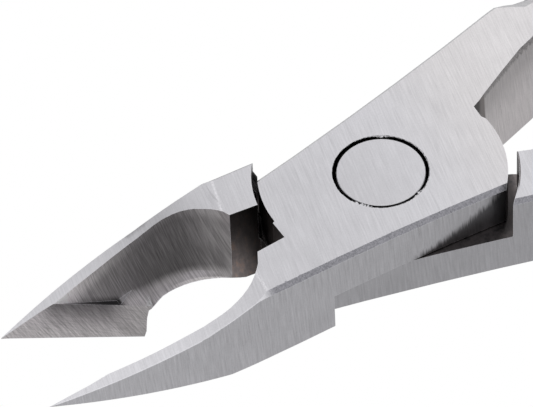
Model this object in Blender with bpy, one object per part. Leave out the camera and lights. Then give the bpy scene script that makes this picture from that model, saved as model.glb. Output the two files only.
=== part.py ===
"""Sprue nippers: a lap-jointed pair of steel halves with needle-point jaws, a riveted pivot,
two interlocking leaf springs with their screws, and two dipped grips.

The tool lies flat in the XY plane. +Z is up and runs along the pivot axis, which passes
through the origin. The jaws point to -X and the handles to +X. Rest is the open, relaxed pose.
Half A has its jaw on the -Y side and carries the upper lap. Half B has its jaw on the +Y side
and carries the lower lap. All the constants are in millimetres or degrees.

The outline functions work on a half whose jaw is on the +Y side. They take x as a distance
ahead of the pivot for the jaw, and behind the pivot for the handle.
"""

import math

import bmesh
import bpy
from mathutils import Matrix, Vector

MM = 0.001

# Joint block
THICKNESS = 6.68
LAP_SPLIT = 3.34
LAP_GAP = 0.08
LAP_FRONT_R = 8.17
LAP_REAR_R = 8.38
JAW_SHOULDER_R = 8.58
HANDLE_SHOULDER_R = 9.13
BLOCK_X = 9.5
ARC_STEP = 4.0
TOP_CHAMFER = 0.3
LOW_CHAMFER = 0.42

# Outline of a half in the open pose, as distances from the tool's centre line
JAW_SIDE = ((-6.6, 5.49), (-2.1, 5.33), (2.0, 5.26), (6.0, 5.29), (9.5, 5.38), (12.5, 5.42))
NOTCH_X = 8.3
NOTCH_Y = 1.69
LAP_STEP_X = 8.34
LAP_STEP_Y = 0.23
ROOT_X = 10.42
ROOT_Y = 1.87
HANDLE_SIDE = ((-9.5, 3.29), (-4.0, 4.46), (1.0, 5.62), (5.0, 6.62), (9.5, 7.81), (14.4, 9.2), (19.0, 10.6))
REAR_LIP_ANGLE = 3.1
REAR_LIP = (8.2, 0.78)
REAR_NOTCH = (8.25, 1.81)
REAR_FAIRING = (8.85, 2.1)
HANDLE_ROOT_Y = 2.5
SHOULDER_ANGLE_A = 9.0
SHOULDER_ANGLE_B = 20.2
SHOULDER_STEP_B = ((9.5, 3.5), (14.5, 4.9))

# Jaw
OPEN_HALF_ANGLE = 7.15
TIP_X = 26.88
TIP_Z = 2.75
TIP_BLUNTNESS = 0.08
OGIVE_START_X = 12.5
OGIVE_CURVE = 0.0098
CREASE_A = (11.56, 11.35)
CREASE_B = (9.86, 10.63)
TOP_BREAK_X = 16.0
TOP_BREAK_Z = 4.96
STRIP_TILT = 0.2
UNDER_CREASE_X = 14.6
HEEL_X = 17.12
HEEL_TOP_X = 16.0
CUT_RISE = 0.4666
FACET_LEAN = 0.2868
FACET_TOP_Z = 3.42
FACET_TOP_SLOPE = 0.506
LEDGE_START_X = 22.6
LEDGE_END_X = 18.3
LEDGE_WIDTH = 0.5
THROAT_TOP = (14.5, 0.1, 4.48)
THROAT_TOP_TAPER = (0.06, 0.0078)
THROAT_LOW = (14.0, 3.18)
THROAT_LOW_CURVES = (0.085, 0.11)
ROOT_LEAN = 0.22
HEEL_EASE = 0.12
HEEL_TURN = (0.4, 0.55)
THROAT_LOW_Z = 0.22
FOOT = (12.5, 4.02)
FOOT_CURVE = 0.0155
FOOT_HEIGHT = 1.0
FOOT_RISE = 0.45
FOOT_RISE_X = 15.5
SCOOP_HOLLOW = 0.14
SOFT_FOOT_X = 18.0
SOFT_FOOT_LENGTH = 2.6
JAW_STATIONS = (
    9.5, 10.42, 10.9, 11.2, 12.0, 12.4, 12.9, 13.4, 14.0, 14.6, 15.1, 15.5, 15.85,
    16.0, 16.2, 16.42, 16.66, 16.9, 17.12, 18.3, 19.4, 20.6, 21.7, 22.6, 24.0, 25.4, 26.3,
)

# Handles: rows of position and value
HANDLE_CENTRE = (
    (16.0, 7.45), (18.0, 8.15), (20.0, 8.8), (23.0, 9.7), (26.0, 10.55), (30.0, 11.65),
    (34.0, 12.75), (38.0, 13.75), (43.0, 14.9), (49.0, 16.1), (56.0, 17.2), (63.0, 17.9),
    (70.0, 18.2), (77.0, 18.1), (83.0, 17.7), (88.0, 17.1), (91.5, 16.6), (95.0, 16.1),
)
HANDLE_WIDTH = ((16.0, 3.7), (20.0, 3.9), (26.0, 4.3), (40.0, 4.6), (75.0, 4.6), (91.5, 3.9))
HANDLE_HEIGHT = ((16.0, 6.68), (22.0, 6.4), (36.0, 6.0), (80.0, 6.0), (91.5, 5.4))
INNER_TOP = ((9.5, 2.5), (11.5, 3.6), (13.7, 4.77), (15.0, 5.24), (16.0, 5.6))
INNER_LOW = ((9.5, 2.5), (11.4, 3.06), (14.3, 4.08), (16.0, 4.85), (18.0, 5.9), (20.0, 6.85))
FLAT_END_X = 14.2
ROUND_SPREAD = 0.75
ROUND_DROP = 0.5
ROUND_LIMIT = 1.9
ROUND_FULL_X = 24.0
ROUNDNESS = 3.0
SECTION_ANGLES = (-64, -40, -14, 14, 40, 64, 81, 99, 116, 140, 166, 194, 220, 244, 261, 279)
HANDLE_STATIONS = (
    9.5, 10.5, 11.5, 12.6, 13.7, 14.3, 15.2, 16.0, 17.0, 18.0, 20.0, 22.0, 24.0, 27.0, 30.0,
    34.0, 38.0, 43.0, 49.0, 56.0, 63.0, 70.0, 77.0, 83.0, 88.0, 90.6,
)
HANDLE_END_X = 91.5

# Pivot rivet
RIVET_HEAD_R = 2.97
RIVET_BORE_R = 3.25
RIVET_SHANK_R = 2.1
SHANK_BORE_R = 2.4
COLLAR_R = 2.95
COLLAR_H = 1.2
COLLAR_BORE_DEPTH = 1.45
FLUSH = 0.03
ROUND_STEPS = 48

# Leaf springs and their screws
SPRING_THICKNESS = 0.7
SPRING_WIDTH = 4.2
SPRING_PATH = (
    (22.6, 7.02), (24.5, 7.54), (27.0, 8.2), (29.5, 8.84), (31.5, 9.22), (33.5, 9.3), (36.0, 8.8),
    (39.0, 7.65), (42.0, 6.2), (45.0, 4.7), (48.0, 3.3), (51.0, 2.1),
)
LATCH_X = 55.0
BEAD_R = 0.85
SOCKET_R = 1.5
SCREW_X = 27.0
SCREW_Y = 8.2
SCREW_TILT = 14.6
SCREW_SHANK_R = 1.0
SCREW_HOLE_R = 1.3
SCREW_REACH = 3.4
SCREW_HEAD_R = 1.9
SCREW_HEAD_H = 1.1
SCREW_SEAT_GAP = 0.1
SLOT_WIDTH = 0.5
SLOT_DEPTH = 0.5

# Grips
GRIP_START_X = 37.0
GRIP_LIP_END_X = 38.8
GRIP_CLEARANCE = 0.15
GRIP_WALL = 1.65
GRIP_LIP = 0.2
GRIP_END_X = 94.3


def clear_scene():
    for obj in list(bpy.data.objects):
        bpy.data.objects.remove(obj, do_unlink=True)


def make_material(name, colour, roughness, metallic):
    material = bpy.data.materials.new(name)
    material.use_nodes = True
    shader = material.node_tree.nodes["Principled BSDF"]
    shader.inputs["Base Color"].default_value = (*colour, 1.0)
    shader.inputs["Roughness"].default_value = roughness
    shader.inputs["Metallic"].default_value = metallic
    return material


def half_material(name):
    return make_material(name, (0.62, 0.62, 0.645), 0.33, 1.0)


def rivet_material(name):
    return make_material(name, (0.6, 0.6, 0.62), 0.36, 1.0)


def spring_material(name):
    return make_material(name, (0.5, 0.5, 0.52), 0.25, 1.0)


def screw_material(name):
    return make_material(name, (0.42, 0.42, 0.44), 0.3, 1.0)


def grip_material(name):
    return make_material(name, (0.03, 0.05, 0.09), 0.5, 0.0)


def add_object(name, points, faces, material=None):
    """A mesh object from points in millimetres, with its faces turned outwards."""
    mesh = bpy.data.meshes.new(name)
    mesh.from_pydata([Vector(p) * MM for p in points], [], faces)
    work = bmesh.new()
    work.from_mesh(mesh)
    bmesh.ops.recalc_face_normals(work, faces=work.faces)
    if work.calc_volume(signed=True) < 0:
        bmesh.ops.reverse_faces(work, faces=work.faces)
    work.to_mesh(mesh)
    work.free()
    obj = bpy.data.objects.new(name, mesh)
    bpy.context.scene.collection.objects.link(obj)
    if material:
        mesh.materials.append(material)
    return obj


def loft(name, rings, material=None):
    """A closed solid through rings that all have the same number of points."""
    count = len(rings[0])
    points = [p for ring in rings for p in ring]
    faces = [list(range(count))]
    for k in range(len(rings) - 1):
        for i in range(count):
            j = (i + 1) % count
            low = k * count
            high = low + count
            faces.append([low + i, low + j, high + j, high + i])
    faces.append([(len(rings) - 1) * count + i for i in range(count)])
    return add_object(name, points, faces, material)


def revolve(name, profile, material=None):
    """A solid of revolution about Z from (radius, height) rows, closed on the axis or as a ring."""
    rings = []
    on_axis = profile[0][0] == 0.0
    rows = profile[1:-1] if on_axis else profile
    for k in range(ROUND_STEPS):
        a = 2.0 * math.pi * k / ROUND_STEPS
        rings.append([(r * math.cos(a), r * math.sin(a), z) for r, z in rows])
    count = len(rows)
    points = [p for ring in rings for p in ring]
    faces = []
    for k in range(ROUND_STEPS):
        low = k * count
        high = ((k + 1) % ROUND_STEPS) * count
        for i in range(count if not on_axis else count - 1):
            j = (i + 1) % count
            faces.append([low + i, low + j, high + j, high + i])
    if on_axis:
        for i in (0, count - 1):
            faces.append([k * count + i for k in range(ROUND_STEPS)])
    return add_object(name, points, faces, material)


def combine(target, tool, operation):
    """Apply an exact Boolean to target with tool, and remove the tool."""
    modifier = target.modifiers.new("combine", "BOOLEAN")
    modifier.operation = operation
    modifier.solver = "EXACT"
    modifier.object = tool
    graph = bpy.context.evaluated_depsgraph_get()
    mesh = bpy.data.meshes.new_from_object(target.evaluated_get(graph))
    target.modifiers.clear()
    target.data = mesh
    bpy.data.objects.remove(tool, do_unlink=True)
    return target


def tidy_mesh(obj, sharp_angle=28.0):
    """Merge doubles, dissolve flat edges and shade the rounded parts smooth."""
    work = bmesh.new()
    work.from_mesh(obj.data)
    bmesh.ops.remove_doubles(work, verts=work.verts, dist=0.004 * MM)
    bmesh.ops.dissolve_limit(
        work, angle_limit=math.radians(0.05), verts=work.verts, edges=work.edges
    )
    bmesh.ops.triangulate(work, faces=[f for f in work.faces if len(f.verts) > 4])
    bmesh.ops.recalc_face_normals(work, faces=work.faces)
    work.to_mesh(obj.data)
    work.free()
    obj.data.shade_smooth()
    obj.data.set_sharp_from_angle(angle=math.radians(sharp_angle))
    return obj


def table_value(table, x):
    """Straight-line reading of a table of (position, value) rows."""
    if x <= table[0][0]:
        return table[0][1]
    for (x0, y0), (x1, y1) in zip(table, table[1:]):
        if x <= x1:
            return y0 + (y1 - y0) * (x - x0) / (x1 - x0)
    return table[-1][1]


def blend(a, b, t):
    return a + (b - a) * min(max(t, 0.0), 1.0)


def blend_points(start, end, t):
    return blend(start[0], end[0], t), blend(start[1], end[1], t)


def smooth_step(t):
    t = min(max(t, 0.0), 1.0)
    return t * t * (3.0 - 2.0 * t)


def on_arc(radius, angle):
    return radius * math.cos(math.radians(angle)), radius * math.sin(math.radians(angle))


def arc_points(radius, start, end):
    """Points on a circle round the pivot, from start to end in degrees, both included."""
    steps = max(2, math.ceil(abs(end - start) / ARC_STEP))
    return [on_arc(radius, start + (end - start) * k / steps) for k in range(steps + 1)]


def crossing_angle(side, radius, near, far):
    """Angle in degrees at which a side line leaves a circle round the pivot, between two distances."""
    for _ in range(40):
        middle = 0.5 * (near + far)
        if math.hypot(middle, side(middle)) < radius:
            near = middle
        else:
            far = middle
    return math.degrees(math.atan2(side(near), near))


def inset_corner(before, corner, after, cut_before, cut_after):
    """The corner of an anticlockwise polygon after its two edges move inwards by their cuts."""
    d0 = (Vector(corner) - Vector(before)).normalized()
    d1 = (Vector(after) - Vector(corner)).normalized()
    n0 = Vector((-d0.y, d0.x))
    n1 = Vector((-d1.y, d1.x))
    cross = d0.x * d1.y - d0.y * d1.x
    if abs(cross) < 1e-4:
        return tuple(Vector(corner) + n0 * max(cut_before, cut_after))
    p0 = Vector(corner) + n0 * cut_before
    p1 = Vector(corner) + n1 * cut_after
    t = ((p1.x - p0.x) * d1.y - (p1.y - p0.y) * d1.x) / cross
    return tuple(p0 + d0 * t)


def inset_outline(outline, cut_edges, cut):
    """The outline with the edges in cut_edges moved inwards by cut."""
    count = len(outline)
    inner = []
    for k in range(count):
        before = cut if (k - 1) % count in cut_edges else 0.0
        after = cut if k in cut_edges else 0.0
        corners = (outline[k - 1], outline[k], outline[(k + 1) % count])
        inner.append(inset_corner(*corners, before, after))
    return inner


def prism(name, outline, low, high, cut_edges=(), low_cut=0.0, high_cut=0.0, material=None):
    """An upright prism. Edge k joins corner k to corner k + 1.

    The edges in cut_edges get a 45 degree chamfer of low_cut at the bottom and high_cut at the top.
    """
    count = len(outline)
    area = sum(a[0] * b[1] - b[0] * a[1] for a, b in zip(outline, outline[1:] + outline[:1]))
    if area < 0:
        outline = outline[::-1]
        cut_edges = {(count - 2 - k) % count for k in cut_edges}
    rings = [[(*p, low + low_cut) for p in outline], [(*p, high - high_cut) for p in outline]]
    if low_cut:
        rings.insert(0, [(*p, low) for p in inset_outline(outline, cut_edges, low_cut)])
    if high_cut:
        rings.append([(*p, high) for p in inset_outline(outline, cut_edges, high_cut)])
    return loft(name, rings, material)


def mirrored(points, side):
    return [(x, side * y) for x, y in points]


def jaw_side(x):
    """Outer jaw side. It is nearly straight over the joint block and then curves to the tip."""
    return table_value(JAW_SIDE, x) - OGIVE_CURVE * max(x - OGIVE_START_X, 0.0) ** 2


def handle_side(x):
    return table_value(HANDLE_SIDE, x)


def circle_half(circle, x):
    centre, offset, radius = circle
    return offset + math.sqrt(max(radius**2 - (x - centre) ** 2, 0.0))


def root_wall(x):
    """The straight inner wall between the shoulder and the throat."""
    return blend(NOTCH_Y, ROOT_Y, (x - NOTCH_X) / (ROOT_X - NOTCH_X))


def throat_top(x):
    """Inner edge of the jaw's top strip, as far as the blade facet."""
    if x <= ROOT_X:
        return root_wall(x)
    past = max(x - THROAT_TOP[0], 0.0)
    taper = THROAT_TOP_TAPER[0] * past + THROAT_TOP_TAPER[1] * past**2
    return max(circle_half(THROAT_TOP, min(x, THROAT_TOP[0])) - taper, ROOT_Y)


def strip_height(x, crease):
    """Height of the jaw's top strip at its outer edge."""
    if x <= crease:
        return THICKNESS
    if x <= TOP_BREAK_X:
        return blend(THICKNESS, TOP_BREAK_Z, (x - crease) / (TOP_BREAK_X - crease))
    return blend(TOP_BREAK_Z, TIP_Z, (x - TOP_BREAK_X) / (TIP_X - TOP_BREAK_X))


def under_height(x):
    """Height of the outer lower edge of the jaw."""
    return blend(LOW_CHAMFER, TIP_Z, (x - UNDER_CREASE_X) / (TIP_X - UNDER_CREASE_X))


def cutting_edge(x):
    """The cutting edge, which lies in an upright plane through the pivot axis."""
    side = x * math.tan(math.radians(OPEN_HALF_ANGLE))
    return side, TIP_Z - CUT_RISE * (TIP_X - x)


def facet_side(x, z):
    """Distance of the flat blade facet from the centre line at height z."""
    side, height = cutting_edge(x)
    return side + FACET_LEAN * (z - height)


def low_inner(x):
    """The lowest inner point of the jaw: root, throat, heel or cutting edge."""
    if x <= ROOT_X:
        rise = smooth_step((x - BLOCK_X) / (ROOT_X - BLOCK_X))
        return root_wall(x) + ROOT_LEAN * rise, 0.8 * THROAT_LOW_Z * rise
    if x <= HEEL_TOP_X:
        centre, side = THROAT_LOW
        side -= THROAT_LOW_CURVES[x > centre] * (x - centre) ** 2
        lift = blend(0.8, 1.0, (x - ROOT_X) / 1.2)
        return side, THROAT_LOW_Z * lift * (1.0 - smooth_step(x - HEEL_TOP_X + 1.0))
    if x <= HEEL_X:
        t = (x - HEEL_TOP_X) / (HEEL_X - HEEL_TOP_X)
        z = cutting_edge(HEEL_X)[1] * blend(smooth_step((t - HEEL_TURN[0]) / HEEL_TURN[1]), t, HEEL_EASE)
        return facet_side(x, z), z
    return cutting_edge(x)


def facet_top(x):
    """Upper edge of the blade facet."""
    z = FACET_TOP_Z - FACET_TOP_SLOPE * (LEDGE_START_X - x)
    return facet_side(x, z), z


def scoop_foot(x):
    """The facet's upper edge and the foot of the scooped wall above it."""
    if x >= LEDGE_END_X:
        facet = facet_top(x)
        width = LEDGE_WIDTH * (LEDGE_START_X - x) / (LEDGE_START_X - LEDGE_END_X)
        return facet, (facet[0] + width, facet[1] - 0.06 * width)
    low_y, low_z = low_inner(x)
    foot_y = FOOT[1] - FOOT_CURVE * max(x - FOOT[0], 0.0) ** 2
    foot_y = min(foot_y, blend(low_y, throat_top(x), 0.75))
    foot_z = FOOT_HEIGHT * blend(0.4, 1.0, smooth_step((x - ROOT_X) / 2.5))
    foot_z += 0.2 * smooth_step((x - FOOT[0]) / (LEDGE_END_X - FOOT[0]))
    foot_z += FOOT_RISE * smooth_step((x - FOOT_RISE_X) / 1.5)
    foot = (foot_y, foot_z)
    if x > HEEL_TOP_X:
        return facet_top(x), foot
    share = 0.05 + 0.15 * smooth_step((HEEL_TOP_X - x) / 2.0)
    return blend_points((low_y, low_z), foot, share), foot


def bend_point(start, corner, end, t):
    """A point on the parabola that leaves start towards corner and arrives at end from it."""
    return blend_points(blend_points(start, corner, t), blend_points(corner, end, t), t)


def crease_point(x, crease, outer, inner):
    """A point on the top strip: on the crease while the section crosses it, else in the middle."""
    t = 0.5
    if min(crease) < x < max(crease):
        t = (x - crease[0]) / (crease[1] - crease[0])
    z = THICKNESS if x <= max(crease) else 0.5 * (outer[1] + inner[1])
    return blend(outer[0], inner[0], t), z


def jaw_section(x, crease):
    """Outline of the jaw at x ahead of the pivot, as (distance from centre line, height)."""
    side = jaw_side(x)
    edge_z = under_height(x)
    top_cut = blend(side_cut(jaw_side, TOP_CHAMFER), 0.04, (x - crease[0]) / 0.7)
    low_cut = blend(LOW_CHAMFER, 0.05, (x - UNDER_CREASE_X) / (TIP_X - UNDER_CREASE_X))
    low = low_inner(x)
    outer = (side - top_cut, strip_height(x, crease[0]))
    inner_z = strip_height(x, crease[1])
    if x > LEDGE_START_X:
        inner = (facet_side(x, inner_z), inner_z)
        levels = [blend(low[1], inner_z, t) for t in (0.35, 0.6, 0.7, 0.8, 0.9)]
        inside = [(facet_side(x, z), z) for z in levels]
    else:
        rise = smooth_step((x - crease[1]) / 2.5) * (1.0 - smooth_step((x - 15.5) / 5.0))
        inner = (throat_top(x), inner_z + STRIP_TILT * rise)
        facet, foot = scoop_foot(x)
        hollow = SCOOP_HOLLOW * smooth_step((x - ROOT_X) / 2.0)
        hollow *= smooth_step((LEDGE_START_X - x) / 3.0)
        softness = smooth_step((SOFT_FOOT_X - x) / SOFT_FOOT_LENGTH)
        inside = [facet]
        for crisp_t, soft_t in ((0.0, 0.22), (0.25, 0.42), (0.5, 0.62), (0.75, 0.81)):
            bulge = hollow * 4.0 * crisp_t * (1.0 - crisp_t)
            crisp = (blend(foot[0], inner[0], crisp_t) + bulge, blend(foot[1], inner[1], crisp_t))
            inside.append(blend_points(crisp, bend_point(facet, foot, inner, soft_t), softness))
    return [
        crease_point(x, crease, outer, inner),
        outer,
        (side, outer[1] - min(top_cut, TOP_CHAMFER)),
        (side, edge_z),
        (side - side_cut(jaw_side, low_cut), edge_z - low_cut),
        low,
        *inside,
        inner,
    ]


def make_jaw(side, crease):
    rings = []
    for x in sorted(JAW_STATIONS + crease):
        rings.append([(-x, side * y, z) for y, z in jaw_section(x, crease)])
    tip_side = cutting_edge(TIP_X)[0]
    tip = []
    for _, y, z in rings[-1]:
        tip_y = blend(side * tip_side, y, TIP_BLUNTNESS)
        tip.append((-TIP_X, tip_y, blend(TIP_Z, z, TIP_BLUNTNESS)))
    rings.append(tip)
    jaw = loft("jaw", rings)
    work = bmesh.new()
    work.from_mesh(jaw.data)
    bmesh.ops.triangulate(work, faces=work.faces, quad_method="SHORT_EDGE")
    work.to_mesh(jaw.data)
    work.free()
    return jaw


def side_cut(side, cut):
    """Width of a chamfer measured along Y where a side line meets the end of the joint block."""
    return cut * math.hypot(1.0, (side(BLOCK_X) - side(BLOCK_X - 1.0)))


def block_outline():
    """Plan of the joint block between the two end planes, and its chamfered edges."""
    front = crossing_angle(handle_side, LAP_FRONT_R, -2.0, -BLOCK_X)
    rear = crossing_angle(jaw_side, LAP_REAR_R, -2.0, -BLOCK_X)
    points = [(x, -handle_side(x)) for x in (BLOCK_X, 5.0, 1.0, -4.0)]
    cuts = set(range(len(points)))
    points += arc_points(LAP_FRONT_R, 360.0 - front, 180.0 - 1.0)
    points += [(-LAP_STEP_X, LAP_STEP_Y), (-NOTCH_X, NOTCH_Y), (-BLOCK_X, root_wall(BLOCK_X))]
    first_cut = len(points)
    points += [(-x, jaw_side(x)) for x in (BLOCK_X, 6.0, 2.0, -2.1)]
    cuts |= set(range(first_cut, len(points)))
    points += arc_points(LAP_REAR_R, 180.0 - rear, -REAR_LIP_ANGLE)
    points += [(x, -y) for x, y in (REAR_LIP, REAR_NOTCH, REAR_FAIRING, (BLOCK_X, HANDLE_ROOT_Y))]
    return points, cuts


def pocket_outline(angle, step):
    """Plan of the space cut away for the other half's lap, open on both sides of the block."""
    points = arc_points(HANDLE_SHOULDER_R, -65.0, -angle)
    points += [(x, -y) for x, y in step]
    points += [(14.5, 9.0), (-4.0, 9.0)]
    points += arc_points(JAW_SHOULDER_R, 130.0, 175.0)
    points += [(-9.4, -1.5), (-9.4, -9.0), (3.0, -9.0)]
    return points


def handle_edges(x):
    """Outer side and the two inner edges of the handle at x behind the pivot."""
    centre = table_value(HANDLE_CENTRE, x)
    half = 0.5 * table_value(HANDLE_WIDTH, x)
    outer = blend(handle_side(x), centre + half, (x - 14.0) / 4.0)
    top = table_value(INNER_TOP, x) if x <= 16.0 else centre - half
    low = table_value(INNER_LOW, x) if x <= 20.0 else centre - half
    return outer, top, low


def opening_corner(x, cut):
    """Width and height of an outer corner that is a plain chamfer as far as FLAT_END_X."""
    past = max(x - FLAT_END_X, 0.0)
    width = side_cut(handle_side, cut) + ROUND_SPREAD * past
    return min(width, ROUND_LIMIT), min(cut + ROUND_DROP * past, ROUND_LIMIT)


def flat_section(x):
    """The flat-topped section near the joint."""
    outer, top, low = handle_edges(x)
    height = table_value(HANDLE_HEIGHT, x)
    base = 0.5 * (THICKNESS - height)
    roof = base + height
    low_width, low_drop = opening_corner(x, LOW_CHAMFER)
    top_width, top_drop = opening_corner(x, TOP_CHAMFER)
    roof_edge = outer - top_width
    base_edge = outer - low_width
    return [
        (base_edge, base), (outer, base + low_drop),
        (outer, base + 0.35 * height), (outer, base + 0.65 * height),
        (outer, roof - top_drop), (roof_edge, roof),
        (blend(roof_edge, top, 0.33), roof), (blend(roof_edge, top, 0.67), roof),
        (blend(roof_edge, top, 0.995), roof), (top, roof),
        (blend(low, top, 0.67), base + 0.67 * height), (blend(low, top, 0.33), base + 0.33 * height),
        (low, base), (blend(base_edge, low, 0.995), base),
        (blend(base_edge, low, 0.67), base), (blend(base_edge, low, 0.33), base),
    ]


def round_section(x, grow=0.0, shrink=1.0):
    """A rounded section, grown on all sides by grow."""
    centre = table_value(HANDLE_CENTRE, x)
    half_w = (0.5 * table_value(HANDLE_WIDTH, x) + grow) * shrink
    half_h = (0.5 * table_value(HANDLE_HEIGHT, x) + grow) * shrink
    points = []
    for angle in SECTION_ANGLES:
        c = math.cos(math.radians(angle))
        s = math.sin(math.radians(angle))
        r = (abs(c) ** ROUNDNESS + abs(s) ** ROUNDNESS) ** (-1.0 / ROUNDNESS)
        points.append((centre + half_w * r * c, 0.5 * THICKNESS + half_h * r * s))
    return points


def handle_section(x):
    t = smooth_step((x - FLAT_END_X) / (ROUND_FULL_X - FLAT_END_X))
    if t >= 1.0:
        return round_section(x)
    return [(blend(a[0], b[0], t), blend(a[1], b[1], t)) for a, b in zip(flat_section(x), round_section(x))]


def make_handle(side):
    rings = []
    for x in HANDLE_STATIONS:
        rings.append([(x, -side * y, z) for y, z in handle_section(x)])
    for step, shrink in ((0.6, 0.86), (1.0, 0.6)):
        x = blend(HANDLE_STATIONS[-1], HANDLE_END_X, step)
        rings.append([(x, -side * y, z) for y, z in round_section(x, 0.0, shrink)])
    return loft("handle", rings)


def cylinder(radius, low, high):
    return revolve("cylinder", [(0.0, low), (radius, low), (radius, high), (0.0, high)])


def screw_matrix(side):
    """Frame of a spring screw: +Z out of the handle towards the middle, origin on the leaf."""
    across = Matrix.Rotation(math.radians(90.0), 4, "X")
    tilt = Matrix.Rotation(math.radians(SCREW_TILT), 4, "Z")
    place = Matrix.Translation(Vector((SCREW_X, SCREW_Y, 0.5 * THICKNESS)) * MM)
    flip = Matrix.Diagonal((1.0, -side, 1.0, 1.0))
    return flip @ place @ tilt @ across


def place_mesh(obj, matrix):
    obj.data.transform(matrix)
    if matrix.determinant() < 0:
        obj.data.flip_normals()
    return obj


def make_half(name, side, upper_lap, material):
    """One steel half. side is +1 when the jaw is on the +Y side."""
    outline, cuts = block_outline()
    outline = mirrored(outline, side)
    half = prism(name, outline, 0.0, THICKNESS, cuts, LOW_CHAMFER, TOP_CHAMFER, material)
    combine(half, make_jaw(side, CREASE_A if upper_lap else CREASE_B), "UNION")
    combine(half, make_handle(side), "UNION")
    if upper_lap:
        pocket = pocket_outline(SHOULDER_ANGLE_A, ((14.5, 1.4),))
        low, high = -1.0, LAP_SPLIT + LAP_GAP / 2
    else:
        pocket = pocket_outline(SHOULDER_ANGLE_B, SHOULDER_STEP_B)
        low, high = LAP_SPLIT - LAP_GAP / 2, THICKNESS + 1.0
    combine(half, prism("pocket", mirrored(pocket, side), low, high), "DIFFERENCE")
    bore = RIVET_BORE_R if upper_lap else SHANK_BORE_R
    combine(half, cylinder(bore, -1.0, THICKNESS + 1.0), "DIFFERENCE")
    if not upper_lap:
        combine(half, cylinder(RIVET_BORE_R, -2.0, COLLAR_BORE_DEPTH), "DIFFERENCE")
    hole = place_mesh(cylinder(SCREW_HOLE_R, -SCREW_REACH - 0.4, 2.0), screw_matrix(side))
    combine(half, hole, "DIFFERENCE")
    return tidy_mesh(half)


def make_rivet():
    profile = [
        (0.0, 0.0), (RIVET_SHANK_R, 0.0), (RIVET_SHANK_R, LAP_SPLIT + 0.26),
        (RIVET_HEAD_R, LAP_SPLIT + 0.26), (RIVET_HEAD_R, THICKNESS - FLUSH - 0.05),
        (RIVET_HEAD_R - 0.05, THICKNESS - FLUSH), (0.0, THICKNESS - FLUSH),
    ]
    return tidy_mesh(revolve("pivot_rivet", profile, rivet_material("rivet_steel")))


def make_collar():
    profile = [
        (SHANK_BORE_R, FLUSH), (COLLAR_R, FLUSH), (COLLAR_R, COLLAR_H), (SHANK_BORE_R, COLLAR_H),
    ]
    return tidy_mesh(revolve("rivet_collar", profile, rivet_material("collar_steel")))


def ribbon(path, thickness):
    """Outline of a strip of even thickness along a path."""
    left = []
    right = []
    for k, point in enumerate(path):
        before = Vector(path[max(k - 1, 0)])
        after = Vector(path[min(k + 1, len(path) - 1)])
        along = (after - before).normalized()
        across = Vector((-along.y, along.x)) * 0.5 * thickness
        left.append(tuple(Vector(point) + across))
        right.append(tuple(Vector(point) - across))
    return left, right


def bead_outline():
    """Leaf that ends in a round bead on the tool's centre line."""
    path = list(SPRING_PATH) + [(53.2, 1.15)]
    left, right = ribbon(path, SPRING_THICKNESS)
    bead = [
        (LATCH_X + BEAD_R * math.cos(math.radians(a)), BEAD_R * math.sin(math.radians(a)))
        for a in range(115, -206, -20)
    ]
    return left + bead + right[::-1]


def socket_outline():
    """Leaf that ends in an open socket round the other leaf's bead."""
    path = list(SPRING_PATH) + [(53.2, 1.75)]
    for a in range(100, -61, -20):
        angle = math.radians(a)
        path.append((LATCH_X + SOCKET_R * math.cos(angle), SOCKET_R * math.sin(angle)))
    left, right = ribbon(path, SPRING_THICKNESS)
    return left + right[::-1]


def make_spring(name, side, outline, material):
    """A leaf spring whose handle is on the -side side of the tool."""
    low = 0.5 * (THICKNESS - SPRING_WIDTH)
    plan = mirrored(outline, -side)
    leaf = prism(name, plan, low, low + SPRING_WIDTH, material=material)
    hole = place_mesh(cylinder(SCREW_HOLE_R, -2.0, 2.0), screw_matrix(side))
    combine(leaf, hole, "DIFFERENCE")
    return tidy_mesh(leaf)


def make_screw(name, side, material):
    seat = 0.5 * SPRING_THICKNESS + SCREW_SEAT_GAP
    top = seat + SCREW_HEAD_H
    profile = [
        (0.0, -SCREW_REACH), (SCREW_SHANK_R - 0.2, -SCREW_REACH),
        (SCREW_SHANK_R, -SCREW_REACH + 0.25), (SCREW_SHANK_R, seat), (SCREW_HEAD_R, seat),
        (SCREW_HEAD_R, top - 0.45), (SCREW_HEAD_R - 0.35, top - 0.1), (SCREW_HEAD_R - 0.7, top),
        (0.0, top),
    ]
    screw = revolve(name, profile, material)
    half = 0.5 * SLOT_WIDTH
    slot = prism(
        "slot", [(-half, -3.0), (half, -3.0), (half, 3.0), (-half, 3.0)], top - SLOT_DEPTH, top + 1.0
    )
    combine(screw, slot, "DIFFERENCE")
    place_mesh(screw, screw_matrix(side))
    return tidy_mesh(screw)


def grip_stations():
    return [x for x in HANDLE_STATIONS if GRIP_LIP_END_X < x < 90.0]


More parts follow.
